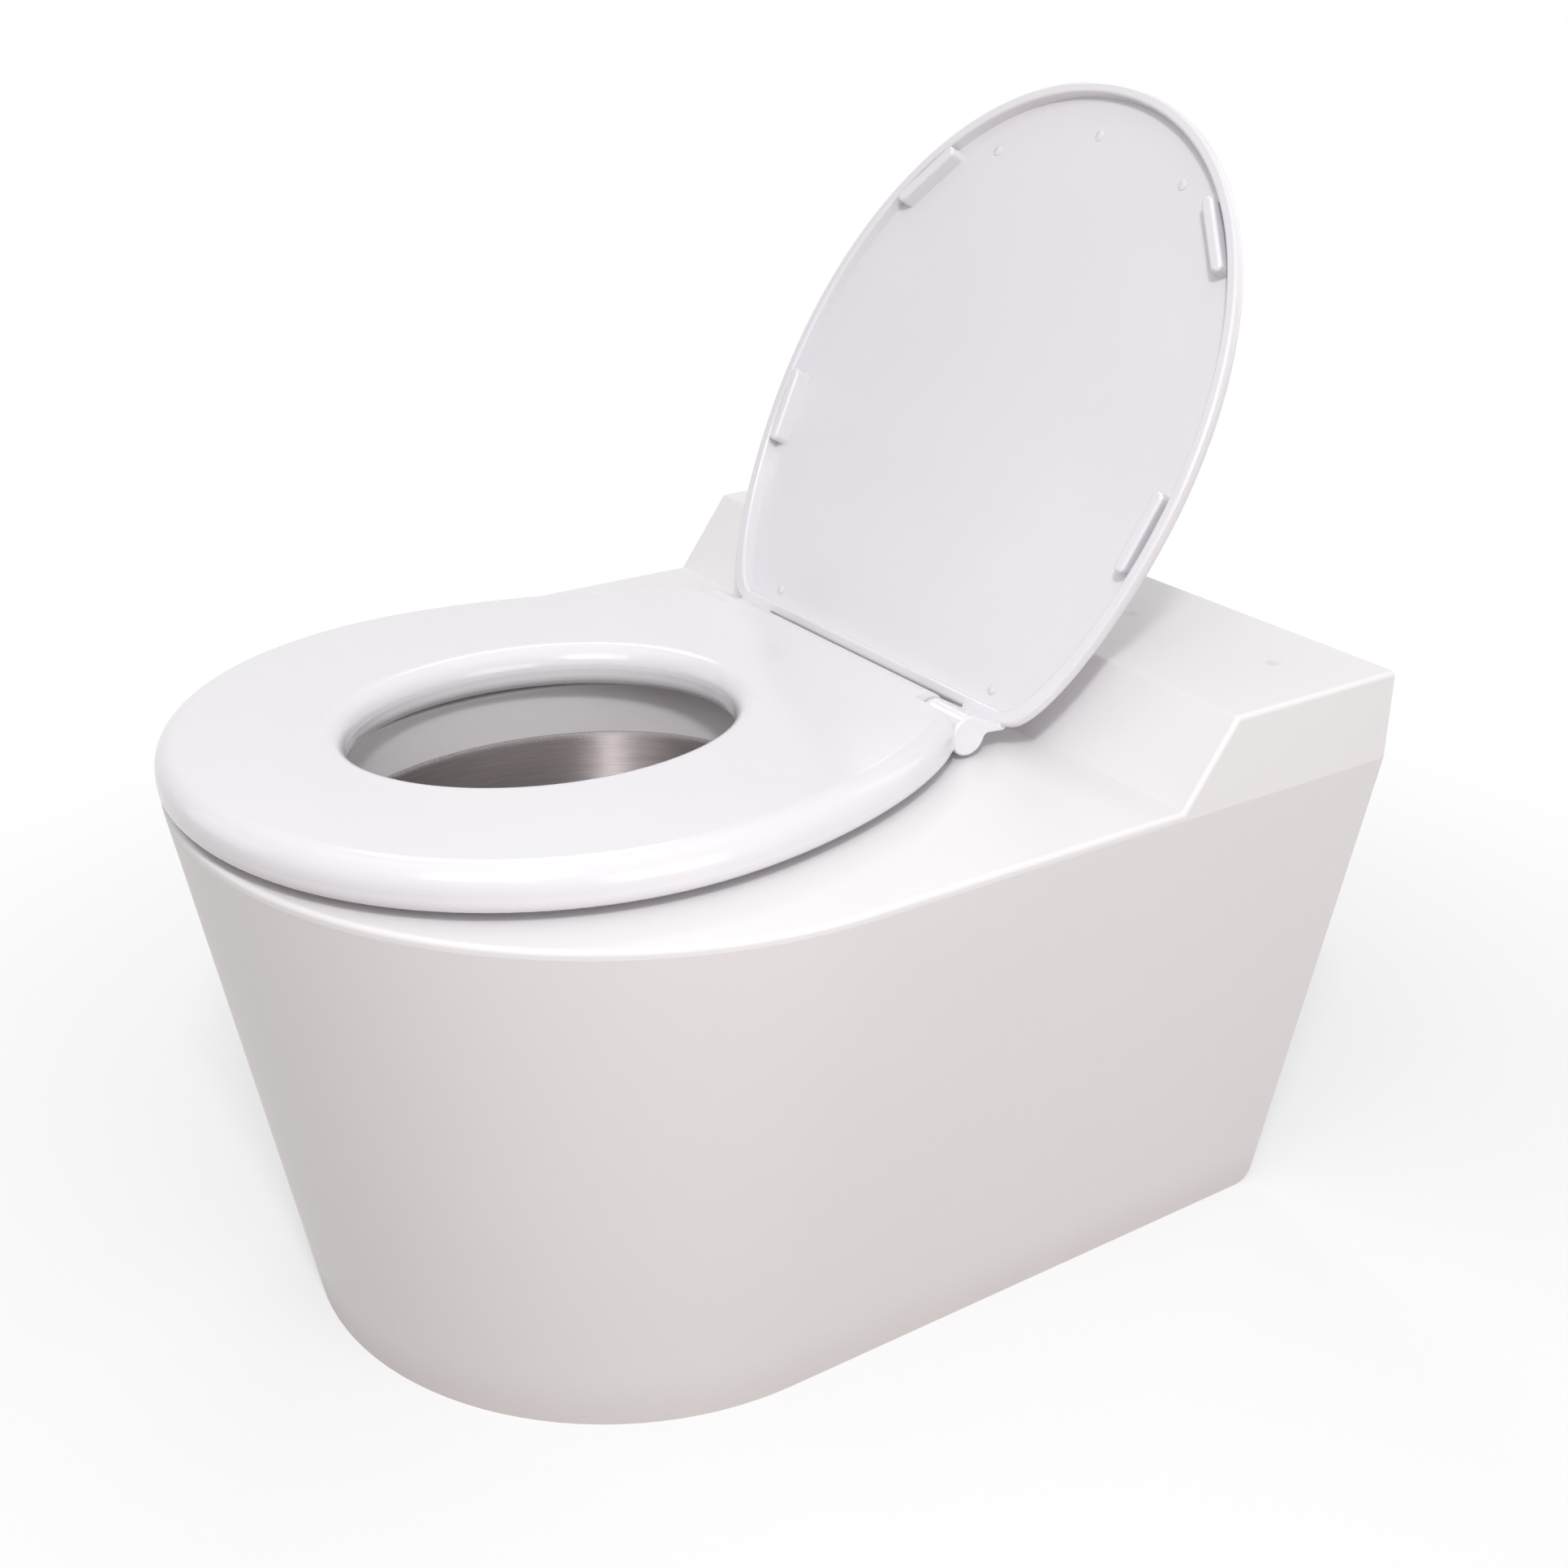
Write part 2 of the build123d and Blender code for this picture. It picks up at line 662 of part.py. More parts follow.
# Lid buffers: four long pads on the recess floor, along the rim, that rest on the seat
buffer_inset = buffer_rim_gap + buffer_width / 2
with BuildPart() as lid_buffers:
    with BuildSketch(lid_plane.offset(lid_back_level - lid_skin)):
        for curve, share in zip(recess_curves, (buffer_tip_share, buffer_side_share)):
            rim_curve = Bezier(*curve, mode=Mode.PRIVATE)
            along = rim_curve % share
            middle = rim_curve @ share + Vector(along.Y, -along.X) * buffer_inset
            turn = degrees(atan2(along.Y, along.X))
            with Locations(Location(middle, turn), Location((-middle.X, middle.Y), -turn)):
                SlotOverall(buffer_length, buffer_width)
    extrude(amount=lid_skin - lid_depth - lid_rim_gap)
    buffer_tops = lid_buffers.faces().sort_by(Axis(hinge_point, lid_out))[:4]
    fillet(buffer_tops.edges(), radius=buffer_edge_radius)
lid_buffers.part.label = "lid_buffers"
export_step(lid_buffers.part, "parts/lid_buffers.step")

with BuildPart() as lid_bushes:
    for side in (1, -1):
        with BuildSketch(hinge_sketch_plane(side * ear_inner)):
            Circle(bush_radius)
            Circle(bore_radius, mode=Mode.SUBTRACT)
        extrude(amount=side * (ear_width - cap_length))
lid_bushes.part.label = "lid_bushes"
export_step(lid_bushes.part, "parts/lid_bushes.step")

with BuildPart() as lid_caps:
    for side in (1, -1):
        with BuildSketch(hinge_sketch_plane(side * ear_outer)):
            Circle(bush_radius)
        extrude(amount=-side * cap_length)
lid_caps.part.label = "lid_caps"
export_step(lid_caps.part, "parts/lid_caps.step")
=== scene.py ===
"""Looks of the bariatric toilet: white-coated steel pan, steel bowl, moulded seat and lid.

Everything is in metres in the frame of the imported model: X across, the wall behind at +Y,
+Z up, and the origin on the floor at the centre of the four floor bolts.
"""

import json
import logging
import math
from dataclasses import dataclass, field
from enum import Enum
from typing import Any, Callable, Iterable, Mapping, Optional, Sequence, Union

import bmesh
import bpy
from mathutils import Matrix, Vector

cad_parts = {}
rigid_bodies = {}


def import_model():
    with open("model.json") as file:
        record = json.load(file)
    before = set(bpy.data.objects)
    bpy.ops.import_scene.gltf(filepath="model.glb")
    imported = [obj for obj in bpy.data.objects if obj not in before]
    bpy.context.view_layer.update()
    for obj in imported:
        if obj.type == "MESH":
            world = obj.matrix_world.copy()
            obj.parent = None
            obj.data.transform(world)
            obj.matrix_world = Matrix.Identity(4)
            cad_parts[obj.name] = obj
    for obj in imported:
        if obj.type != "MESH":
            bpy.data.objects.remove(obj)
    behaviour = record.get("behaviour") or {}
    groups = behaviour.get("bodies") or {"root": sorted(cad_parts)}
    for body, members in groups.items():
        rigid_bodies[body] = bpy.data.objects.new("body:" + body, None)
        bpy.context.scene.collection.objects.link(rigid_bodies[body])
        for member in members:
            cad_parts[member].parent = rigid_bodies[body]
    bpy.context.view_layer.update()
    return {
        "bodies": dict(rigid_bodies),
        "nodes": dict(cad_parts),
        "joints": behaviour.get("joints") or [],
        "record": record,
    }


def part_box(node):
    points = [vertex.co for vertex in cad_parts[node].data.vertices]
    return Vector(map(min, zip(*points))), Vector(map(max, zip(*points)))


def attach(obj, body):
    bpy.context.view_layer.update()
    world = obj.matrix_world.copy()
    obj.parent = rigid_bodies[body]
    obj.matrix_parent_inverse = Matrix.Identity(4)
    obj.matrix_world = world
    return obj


LOG = logging.getLogger("bariatric_toilet")
Colour = tuple[float, float, float]
Value = Union["Socket", float, int]


class Body(Enum):
    """Rigid bodies of the toilet."""

    PAN = "pan"
    SEAT = "seat"
    LID = "lid"


class Slot(Enum):
    """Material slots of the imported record."""

    COAT = "white_coat"
    BOWL = "bowl_steel"
    HINGE = "hinge_steel"
    SEAT = "seat_plastic"
    RUBBER = "rubber"
    BUSH = "bush_plastic"


class Op(Enum):
    """Math node operations that the finishes use."""

    ADD = "ADD"
    SUBTRACT = "SUBTRACT"
    MULTIPLY = "MULTIPLY"
    LARGER = "MAXIMUM"


def linear(red: int, green: int, blue: int) -> Colour:
    """Colour of an 8-bit display value as linear light.

    Args:
        red: Red from 0 to 255.
        green: Green from 0 to 255.
        blue: Blue from 0 to 255.

    Returns:
        The three linear channels.
    """
    def channel(value: int) -> float:
        """One channel of the display curve."""
        share = value / 255
        return share / 12.92 if share <= 0.04045 else ((share + 0.055) / 1.055) ** 2.4

    return channel(red), channel(green), channel(blue)


class Socket:
    """A node's output that takes part in Python expressions.

    Args:
        graph: The graph that the socket belongs to.
        raw: Blender's own socket.
    """

    def __init__(self, graph: "Graph", raw: bpy.types.NodeSocket) -> None:
        """Keeps the graph and Blender's socket."""
        self.graph = graph
        self.raw = raw

    def _math(self, op: Op, first: Value, second: Value) -> "Socket":
        """Adds one Math node for an operator.

        Args:
            op: The operation.
            first: Left operand.
            second: Right operand.

        Returns:
            The node's result.
        """
        return self.graph.node("ShaderNodeMath", {"operation": op.value}, {0: first, 1: second})

    def __add__(self, other: Value) -> "Socket":
        """Sum."""
        return self._math(Op.ADD, self, other)

    def __radd__(self, other: Value) -> "Socket":
        """Sum with the number first."""
        return self._math(Op.ADD, other, self)

    def __sub__(self, other: Value) -> "Socket":
        """Difference."""
        return self._math(Op.SUBTRACT, self, other)

    def __rsub__(self, other: Value) -> "Socket":
        """Difference with the number first."""
        return self._math(Op.SUBTRACT, other, self)

    def __mul__(self, other: Value) -> "Socket":
        """Product."""
        return self._math(Op.MULTIPLY, self, other)

    def __rmul__(self, other: Value) -> "Socket":
        """Product with the number first."""
        return self._math(Op.MULTIPLY, other, self)

    def larger(self, other: Value) -> "Socket":
        """The larger of two values."""
        return self._math(Op.LARGER, self, other)

    def between(self, low: float, high: float) -> "Socket":
        """Smooth step from 0 at low to 1 at high.

        Args:
            low: Value that gives 0.
            high: Value that gives 1.

        Returns:
            The stepped value.
        """
        return self.graph.node(
            "ShaderNodeMapRange",
            {"interpolation_type": "SMOOTHSTEP"},
            {"Value": self, "From Min": low, "From Max": high},
        )


class Graph:
    """Node tree of one material or of the world.

    Args:
        name: Name of the material.
        world: The world, where the tree is its own and not a material's.
    """

    def __init__(self, name: str, world: Optional[bpy.types.World] = None) -> None:
        """Starts an empty tree with its output."""
        self.owner = world or bpy.data.materials.new(name)
        self.owner.use_nodes = True
        self.tree = self.owner.node_tree
        self.tree.nodes.clear()
        self.output = self.tree.nodes.new(
            "ShaderNodeOutputWorld" if world else "ShaderNodeOutputMaterial"
        )

    def node(
        self,
        kind: str,
        settings: Optional[Mapping[str, Any]] = None,
        inputs: Optional[Mapping[Union[str, int], Any]] = None,
        output: Union[str, int] = 0,
    ) -> Socket:
        """Adds any node, sets it, then fills its sockets.

        Args:
            kind: Blender's node type.
            settings: Properties of the node, set first; "stops" gives a ramp's stops.
            inputs: Values or links by socket name or number.
            output: Name or number of the output wanted.

        Returns:
            The wanted output.
        """
        made = self.tree.nodes.new(kind)
        for key, value in (settings or {}).items():
            if key == "stops":
                self._set_stops(made.color_ramp, value)
            else:
                setattr(made, key, value)
        for key, value in (inputs or {}).items():
            self._fill(made.inputs[key], value)
        return Socket(self, made.outputs[output])

    def _fill(self, socket: bpy.types.NodeSocket, value: Any) -> None:
        """Links or sets one input.

        Args:
            socket: Blender's input socket.
            value: A socket, a number, a colour or a vector.
        """
        if isinstance(value, Socket):
            self.tree.links.new(value.raw, socket)
        elif socket.type == "RGBA" and len(value) == 3:
            socket.default_value = (*value, 1.0)
        else:
            socket.default_value = value

    @staticmethod
    def _set_stops(ramp: bpy.types.ColorRamp, stops: Sequence[tuple[float, float]]) -> None:
        """Sets a ramp's grey stops.

        Args:
            ramp: The ramp.
            stops: Pairs of place and grey value, in order.
        """
        while len(ramp.elements) < len(stops):
            ramp.elements.new(1.0)
        for element, (place, grey) in zip(ramp.elements, stops):
            element.position = place
            element.color = (grey, grey, grey, 1.0)

    def place(self) -> Socket:
        """Position on the object, in metres."""
        return self.node("ShaderNodeTexCoord", output="Object")

    def axis(self, vector: Socket, name: str) -> Socket:
        """One part of a vector, named X, Y or Z."""
        return self.node("ShaderNodeSeparateXYZ", inputs={"Vector": vector}, output=name)

    def stretched(self, vector: Socket, scale: Colour) -> Socket:
        """A vector with each part multiplied."""
        return self.node("ShaderNodeVectorMath", {"operation": "MULTIPLY"}, {0: vector, 1: scale})

    def noise(self, vector: Socket, scale: float, detail: float = 3.0, rough: float = 0.5) -> Socket:
        """Even noise from 0 to 1.

        Args:
            vector: Where the noise is read.
            scale: Waves in a metre.
            detail: Octaves.
            rough: Weight of the finer octaves.

        Returns:
            The noise value.
        """
        inputs = {"Vector": vector, "Scale": scale, "Detail": detail, "Roughness": rough}
        return self.node("ShaderNodeTexNoise", {"noise_dimensions": "3D"}, inputs, "Fac")

    def distance(self, vector: Socket, spot: Colour) -> Socket:
        """Distance from a fixed spot, in metres."""
        inputs = {0: vector, 1: spot}
        return self.node("ShaderNodeVectorMath", {"operation": "DISTANCE"}, inputs, "Value")

    def seen(self) -> Socket:
        """1 for rays from the camera and in mirrors and glass, 0 for light on its way."""
        camera = self.node("ShaderNodeLightPath", output="Is Camera Ray")
        glossy = self.node("ShaderNodeLightPath", output="Is Glossy Ray")
        clear = self.node("ShaderNodeLightPath", output="Is Transmission Ray")
        return camera.larger(glossy).larger(clear)

    def mixed(self, share: Value, first: Any, second: Any) -> Socket:
        """Mix of two colours.

        Args:
            share: Share of the second colour.
            first: Colour at 0.
            second: Colour at 1.

        Returns:
            The mixed colour.
        """
        settings = {"data_type": "RGBA", "blend_type": "MIX"}
        return self.node("ShaderNodeMix", settings, {0: share, 6: first, 7: second}, 2)

    def bump(self, height: Socket, distance: float, strength: float = 1.0) -> Socket:
        """Normal of a height map.

        Args:
            height: The height, from 0 to 1.
            distance: Depth of the relief in metres.
            strength: Share of the relief that is used.

        Returns:
            The bumped normal.
        """
        inputs = {"Height": height, "Distance": distance, "Strength": strength}
        return self.node("ShaderNodeBump", inputs=inputs)

    def surface(self, inputs: Mapping[str, Any]) -> bpy.types.Material:
        """Ends the material with one shader.

        Args:
            inputs: Sockets of the shader by name.

        Returns:
            The finished material.
        """
        return self.finish(self.node("ShaderNodeBsdfPrincipled", inputs=inputs))

    def finish(self, shader: Socket) -> Union[bpy.types.Material, bpy.types.World]:
        """Links a shader to the output.

        Args:
            shader: The shader's own output.

        Returns:
            The finished material or world.
        """
        self.tree.links.new(shader.raw, self.output.inputs["Surface"])
        return self.owner


@dataclass(frozen=True)
class CoatFinish:
    """Satin white coating baked on the steel, with a fine orange peel.

    Attributes:
        name: Name of the material.
        clean: Colour of the coating.
        tint: Colour of its faint uneven patches.
        dusty: Colour of the foot of the pan, where mops and shoes reach.
        dark_spot: Colour of two small soft darker spots on the ledge.
        dark_spot_places: Where those spots are.
        dark_spot_reach: Radius of a spot in metres.
        dark_spot_share: Strength of a spot, from 0 to 1.
        foot_height: Height in metres up to which the foot is dusty.
        cloud_waves: Waves of the uneven patches in a metre.
        streak_waves: Waves of the dust's streaks in a metre, along X, Y and Z.
        peel_waves: Waves of the orange peel in a metre.
        peel: Depth of the orange peel in metres.
        gloss: Mean roughness.
        shine: Level of the clear reflection.
    """

    name: str = "pan_coating"
    clean: Colour = linear(237, 234, 235)
    tint: Colour = linear(235, 232, 233)
    dusty: Colour = linear(226, 221, 220)
    dark_spot: Colour = linear(214, 210, 212)
    dark_spot_places: tuple[Colour, ...] = ((0.244, 0.161, 0.458), (0.115, 0.150, 0.458))
    dark_spot_reach: float = 0.007
    dark_spot_share: float = 0.6
    foot_height: float = 0.05
    cloud_waves: float = 3.0
    streak_waves: Colour = (14.0, 14.0, 2.0)
    peel_waves: float = 420.0
    peel: float = 0.00004
    gloss: float = 0.36
    shine: float = 0.4

    def build(self) -> bpy.types.Material:
        """Makes the coating."""
        graph = Graph(self.name)
        place = graph.place()
        clouds = graph.noise(place, self.cloud_waves, 3.0)
        streaks = graph.noise(graph.stretched(place, self.streak_waves), 1.0, 4.0, 0.55)
        foot = 1 - graph.axis(place, "Z").between(0.0, self.foot_height)
        dust = foot * (0.35 + streaks * 0.5)
        colour = graph.mixed(clouds.between(0.3, 0.75), self.clean, self.tint)
        colour = graph.mixed(dust, colour, self.dusty)
        # Two small soft darker spots on the ledge top, blended into the coating's colour.
        for spot in self.dark_spot_places:
            near = 1 - graph.distance(place, spot).between(self.dark_spot_reach * 0.3, self.dark_spot_reach)
            colour = graph.mixed(near * self.dark_spot_share, colour, self.dark_spot)
        peel = graph.noise(place, self.peel_waves, 2.0, 0.4)
        return graph.surface({
            "Base Color": colour,
            "Roughness": self.gloss + (clouds - 0.5) * 0.08 + dust * 0.2,
            "Specular IOR Level": self.shine,
            "Normal": graph.bump(peel, self.peel),
        })


@dataclass(frozen=True)
class MouldedFinish:
    """Thick glossy plastic, as pressed in a polished mould.

    Attributes:
        name: Name of the material.
        clean: Colour of the plastic.
        tint: Colour of its faint flow marks.
        flow_waves: Waves of the flow marks in a metre.
        smear_waves: Waves of the wiped, duller places in a metre.
        swell_waves: Waves of the surface waviness in a metre.
        swell: Depth of the surface waviness in metres.
        gloss: Mean roughness.
        skin: Weight of the clear skin.
        skin_gloss: Roughness of the clear skin.
    """

    name: str = "seat_moulding"
    clean: Colour = linear(229, 226, 230)
    tint: Colour = linear(227, 224, 229)
    flow_waves: float = 5.0
    smear_waves: float = 18.0
    swell_waves: float = 14.0
    swell: float = 0.00012
    gloss: float = 0.2
    skin: float = 0.4
    skin_gloss: float = 0.07

    def build(self) -> bpy.types.Material:
        """Makes the plastic."""
        graph = Graph(self.name)
        place = graph.place()
        flow = graph.noise(graph.stretched(place, (1.0, 2.2, 1.0)), self.flow_waves, 3.0)
        smears = graph.noise(graph.stretched(place, (1.0, 3.0, 1.0)), self.smear_waves, 4.0, 0.6)
        swell = graph.noise(place, self.swell_waves, 1.0)
        return graph.surface({
            "Base Color": graph.mixed(flow.between(0.35, 0.7), self.clean, self.tint),
            "Roughness": self.gloss + (smears - 0.5) * 0.08,
            "Coat Weight": self.skin,
            "Coat Roughness": self.skin_gloss,
            "Normal": graph.bump(swell, self.swell),
        })


@dataclass(frozen=True)
class BrushedFinish:
    """Stainless steel with a brushed grain.

    Attributes:
        name: Name of the material.
        metal: Colour of the bright metal.
        dull: Colour between the brush marks.
        grain: Waves in a metre along X, Y and Z.
        gloss: Mean roughness.
        spread: How much further light spreads across the grain than along it, from 0 to 1.
        turn: Share of a full turn from the direction round the piece to the wide spread.
        depth: Depth of the grain in metres.
        stain_waves: Waves of the duller stains in a metre.
        stain_share: Strength of the stains, from 0 to 1.
    """

    name: str
    metal: Colour
    dull: Colour
    grain: Colour
    gloss: float = 0.34
    spread: float = 0.0
    turn: float = 0.0
    depth: float = 0.00001
    stain_waves: float = 9.0
    stain_share: float = 0.25

    def build(self) -> bpy.types.Material:
        """Makes the steel."""
        graph = Graph(self.name)
        return graph.surface(self.sockets(graph, graph.place()))

    def sockets(self, graph: Graph, place: Socket) -> dict[str, Any]:
        """Works out the steel's shader sockets.

        Args:
            graph: The material's graph.
            place: Position on the object.

        Returns:
            Sockets of the shader by name.
        """
        brush = graph.noise(graph.stretched(place, self.grain), 1.0, 4.0, 0.7)
        stains = graph.noise(place, self.stain_waves, 4.0)
        colour = graph.mixed(brush.between(0.3, 0.7), self.dull, self.metal)
        colour = graph.mixed(stains.between(0.55, 0.85) * self.stain_share, colour, self.dull)
        return {
            "Base Color": colour,
            "Metallic": 1.0,
            "Roughness": self.gloss + (brush - 0.5) * 0.12 + (stains - 0.5) * 0.1,
            "Anisotropic": self.spread,
            "Anisotropic Rotation": self.turn,
            "Normal": graph.bump(brush, self.depth),
        }


@dataclass(frozen=True)
class BowlFinish(BrushedFinish):
    """Spun steel of the bowl, with the white coating fading out over its upper edge.

    Attributes:
        rim: Height of the joint with the coated collar.
        fade: Reach of the thin coating below the joint.
        coating: Colour of the thin coating.
        speck_waves: Waves of the coating's specks in a metre.
        coating_gloss: What the coating adds to the steel's roughness.
    """

    rim: float = 0.0
    fade: float = 0.006
    coating: Colour = linear(214, 210, 211)
    speck_waves: float = 700.0
    coating_gloss: float = 0.2

    def build(self) -> bpy.types.Material:
        """Makes the steel with its faded edge."""
        graph = Graph(self.name)
        place = graph.place()
        sockets = self.sockets(graph, place)
        specks = graph.noise(place, self.speck_waves, 2.0, 0.6)
        height = graph.axis(place, "Z") + (specks - 0.5) * self.fade
        cover = height.between(self.rim - self.fade, self.rim + self.fade * 0.2)
        sockets["Base Color"] = graph.mixed(cover, sockets["Base Color"], self.coating)
        sockets["Metallic"] = 1 - cover
        sockets["Roughness"] = sockets["Roughness"] + cover * self.coating_gloss
        return graph.surface(sockets)


@dataclass(frozen=True)
class SoftFinish:
    """Matt rubber or bearing plastic with a fine moulded grain.

    Attributes:
        name: Name of the material.
        main: Colour of the material.
        worn: Colour of its rubbed places.
        gloss: Mean roughness.
        rub_waves: Waves of the rubbed places in a metre.
        grain: Waves of the moulded grain in a metre.
        depth: Depth of the grain in metres.
    """

    name: str
    main: Colour
    worn: Colour
    gloss: float = 0.6
    rub_waves: float = 90.0
    grain: float = 900.0
    depth: float = 0.00008

    def build(self) -> bpy.types.Material:
        """Makes the rubber or plastic."""
        graph = Graph(self.name)
        place = graph.place()
        rub = graph.noise(place, self.rub_waves, 3.0)
        fine = graph.noise(place, self.grain, 2.0)
        return graph.surface({
            "Base Color": graph.mixed(rub.between(0.45, 0.75), self.main, self.worn),
            "Roughness": self.gloss + (rub - 0.5) * 0.2,
            "Normal": graph.bump(fine, self.depth),
        })


Finish = Union[CoatFinish, MouldedFinish, BrushedFinish, BowlFinish, SoftFinish]

FINISHES: dict[Slot, Finish] = {
    Slot.COAT: CoatFinish(),
    Slot.SEAT: MouldedFinish(),
    Slot.HINGE: BrushedFinish(
        "hinge_steel", linear(206, 205, 205), linear(176, 174, 174), (300.0, 900.0, 900.0), 0.3
    ),
    Slot.RUBBER: SoftFinish("foot_rubber", linear(58, 57, 58), linear(88, 86, 85)),
    Slot.BUSH: SoftFinish("bush_plastic", linear(228, 227, 224), linear(214, 212, 208), 0.5),
}


@dataclass
class Wardrobe:
    """The finishes, each made once.

    Attributes:
        made: Material by slot.
    """

    made: dict[Slot, bpy.types.Material] = field(default_factory=dict)

    def add(self, slot: Slot, finish: Finish) -> None:
        """Makes the finish of a slot that depends on the frame.

        Args:
            slot: The slot.
            finish: Its finish.
        """
        self.made[slot] = finish.build()

    def get(self, slot: Slot) -> bpy.types.Material:
        """Material of a slot.

        Args:
            slot: The slot wanted.

        Returns:
            Its material.
        """
        if slot not in self.made:
            self.made[slot] = FINISHES[slot].build()
        return self.made[slot]

    def dress(self, piece: bpy.types.Object, slot: Slot) -> None:
        """Gives a piece the material of a slot.

        Args:
            piece: The piece.
            slot: The slot that it takes its finish from.
        """
        if not piece.material_slots:
            piece.data.materials.append(self.get(slot))
        for place in piece.material_slots:
            place.material = self.get(slot)


@dataclass
class SubAssembly:
    """A group of the toilet's nodes and trim that belongs together.

    Attributes:
        wardrobe: The finishes.
        body: The rigid body that the group's own trim rides on.
    """

    frame: dict[str, Any]
    wardrobe: Wardrobe
    body: Body = Body.PAN

    def finish_nodes(self, nodes: Mapping[str, Slot]) -> None:
        """Dresses nodes of the frame.

        Args:
            nodes: Slot by node name.
        """
        for name, slot in nodes.items():
            self.wardrobe.dress(self.frame["nodes"][name], slot)
            LOG.info("%s dressed as %s", name, slot.value)

    def add_piece(self, name: str, mesh: bmesh.types.BMesh, slot: Slot) -> bpy.types.Object:
        """Turns a finished mesh into a piece that rides on the group's body.

        Args:
            name: Name of the piece.
            mesh: Its mesh, which is freed.
            slot: Slot that gives the finish.

        Returns:
            The new object.
        """
        bmesh.ops.recalc_face_normals(mesh, faces=mesh.faces)
        data = bpy.data.meshes.new(name)
        mesh.to_mesh(data)
        mesh.free()
        data.polygons.foreach_set("use_smooth", [True] * len(data.polygons))
        piece = bpy.data.objects.new(name, data)
        bpy.context.scene.collection.objects.link(piece)
        self.wardrobe.dress(piece, slot)
        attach(piece, self.body.value)
        LOG.info("%s made with %d faces", name, len(data.polygons))
        return piece


def tube_mesh(
    path: Callable[[float], Vector], radius: float, steps: int, sides: int, closed: bool
) -> bmesh.types.BMesh:
    """Round bead along a path.

    Args:
        path: Point of the path for a share from 0 to 1.
        radius: Radius of the bead.
        steps: Rings along the path.
        sides: Points of each ring.
        closed: Whether the path returns to its start.

    Returns:
        The bead's mesh.
    """
    mesh = bmesh.new()
    rings = []
    count = steps if closed else steps + 1
    for index in range(count):
        share = index / steps
        ahead = (path(share + 0.5 / steps) - path(share - 0.5 / steps)).normalized()
        across = ahead.cross(Vector((0, 0, 1)))
        across = across.normalized() if across.length > 1e-4 else Vector((1, 0, 0))
        over = across.cross(ahead)
        ring = []
        for side in range(sides):
            turn = 2 * math.pi * side / sides
            offset = across * math.cos(turn) + over * math.sin(turn)
            ring.append(mesh.verts.new(path(share) + offset * radius))
        rings.append(ring)
    for first, second in zip(rings, rings[1:] + rings[:1] if closed else rings[1:]):
        for side in range(sides):
            after = (side + 1) % sides
            mesh.faces.new((first[side], first[after], second[after], second[side]))
    if not closed:
        mesh.faces.new(rings[0])
        mesh.faces.new(list(reversed(rings[-1])))
    return mesh


@dataclass
class PanShell(SubAssembly):
    """Skirt, deck, ledge, flanges and braces under the white coating."""

    nodes: Mapping[str, Slot] = field(default_factory=lambda: {
        name: Slot.COAT
        for name in (
            "skirt", "deck_plate", "ledge_cover", "base_flange",
            "wall_flange_right", "wall_flange_left",
            "brace_right_front", "brace_left_front", "brace_right_rear", "brace_left_rear",
        )
    })

    def build(self) -> None:
        """Dresses the shell."""
        self.finish_nodes(self.nodes)


@dataclass
class BowlAndPipes(SubAssembly):
    """Steel bowl, trap and pipes with the weld bead between bowl and trap.

    Attributes:
        nodes: Slot by node.
        bead_radius: Radius of the bead in metres.
        bead_ripple: Height of its ripples as a share of the joint's radius.
        ripples: Ripples round the joint.
        bead_steps: Rings of the bead's mesh.
        bead_sides: Points of each ring.
    """

    nodes: Mapping[str, Slot] = field(default_factory=lambda: {
        name: Slot.BOWL for name in ("bowl", "trap", "outlet_spigot", "inlet_pipe")
    })
    bead_radius: float = 0.0016
    bead_ripple: float = 0.0006
    ripples: int = 97
    bead_steps: int = 220
    bead_sides: int = 8

    def build(self) -> None:
        """Dresses the steel and lays the weld bead under the bowl."""
        self.wardrobe.add(Slot.BOWL, BowlFinish(
            "bowl_steel",
            linear(184, 175, 175),
            linear(168, 159, 160),
            (30.0, 30.0, 1100.0),
            gloss=0.48,
            spread=0.98,
            turn=0.25,
            rim=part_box("bowl")[1].z,
        ))
        self.finish_nodes(self.nodes)
        self.add_piece("throat_weld", self._throat_bead(), Slot.BOWL)

    def _throat_bead(self) -> bmesh.types.BMesh:
        """Bead outside the joint of bowl and trap."""
        low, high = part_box("trap")
        radius = (high.x - low.x) / 2
        centre = Vector((0, low.y + radius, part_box("bowl")[0].z))

        def path(share: float) -> Vector:
            """Point of the joint, with the small ripple of a weld."""
            turn = 2 * math.pi * share
            reach = radius * (1 + self.bead_ripple * math.sin(turn * self.ripples))
            return centre + Vector((reach * math.cos(turn), reach * math.sin(turn), 0))

        return tube_mesh(path, self.bead_radius, self.bead_steps, self.bead_sides, True)


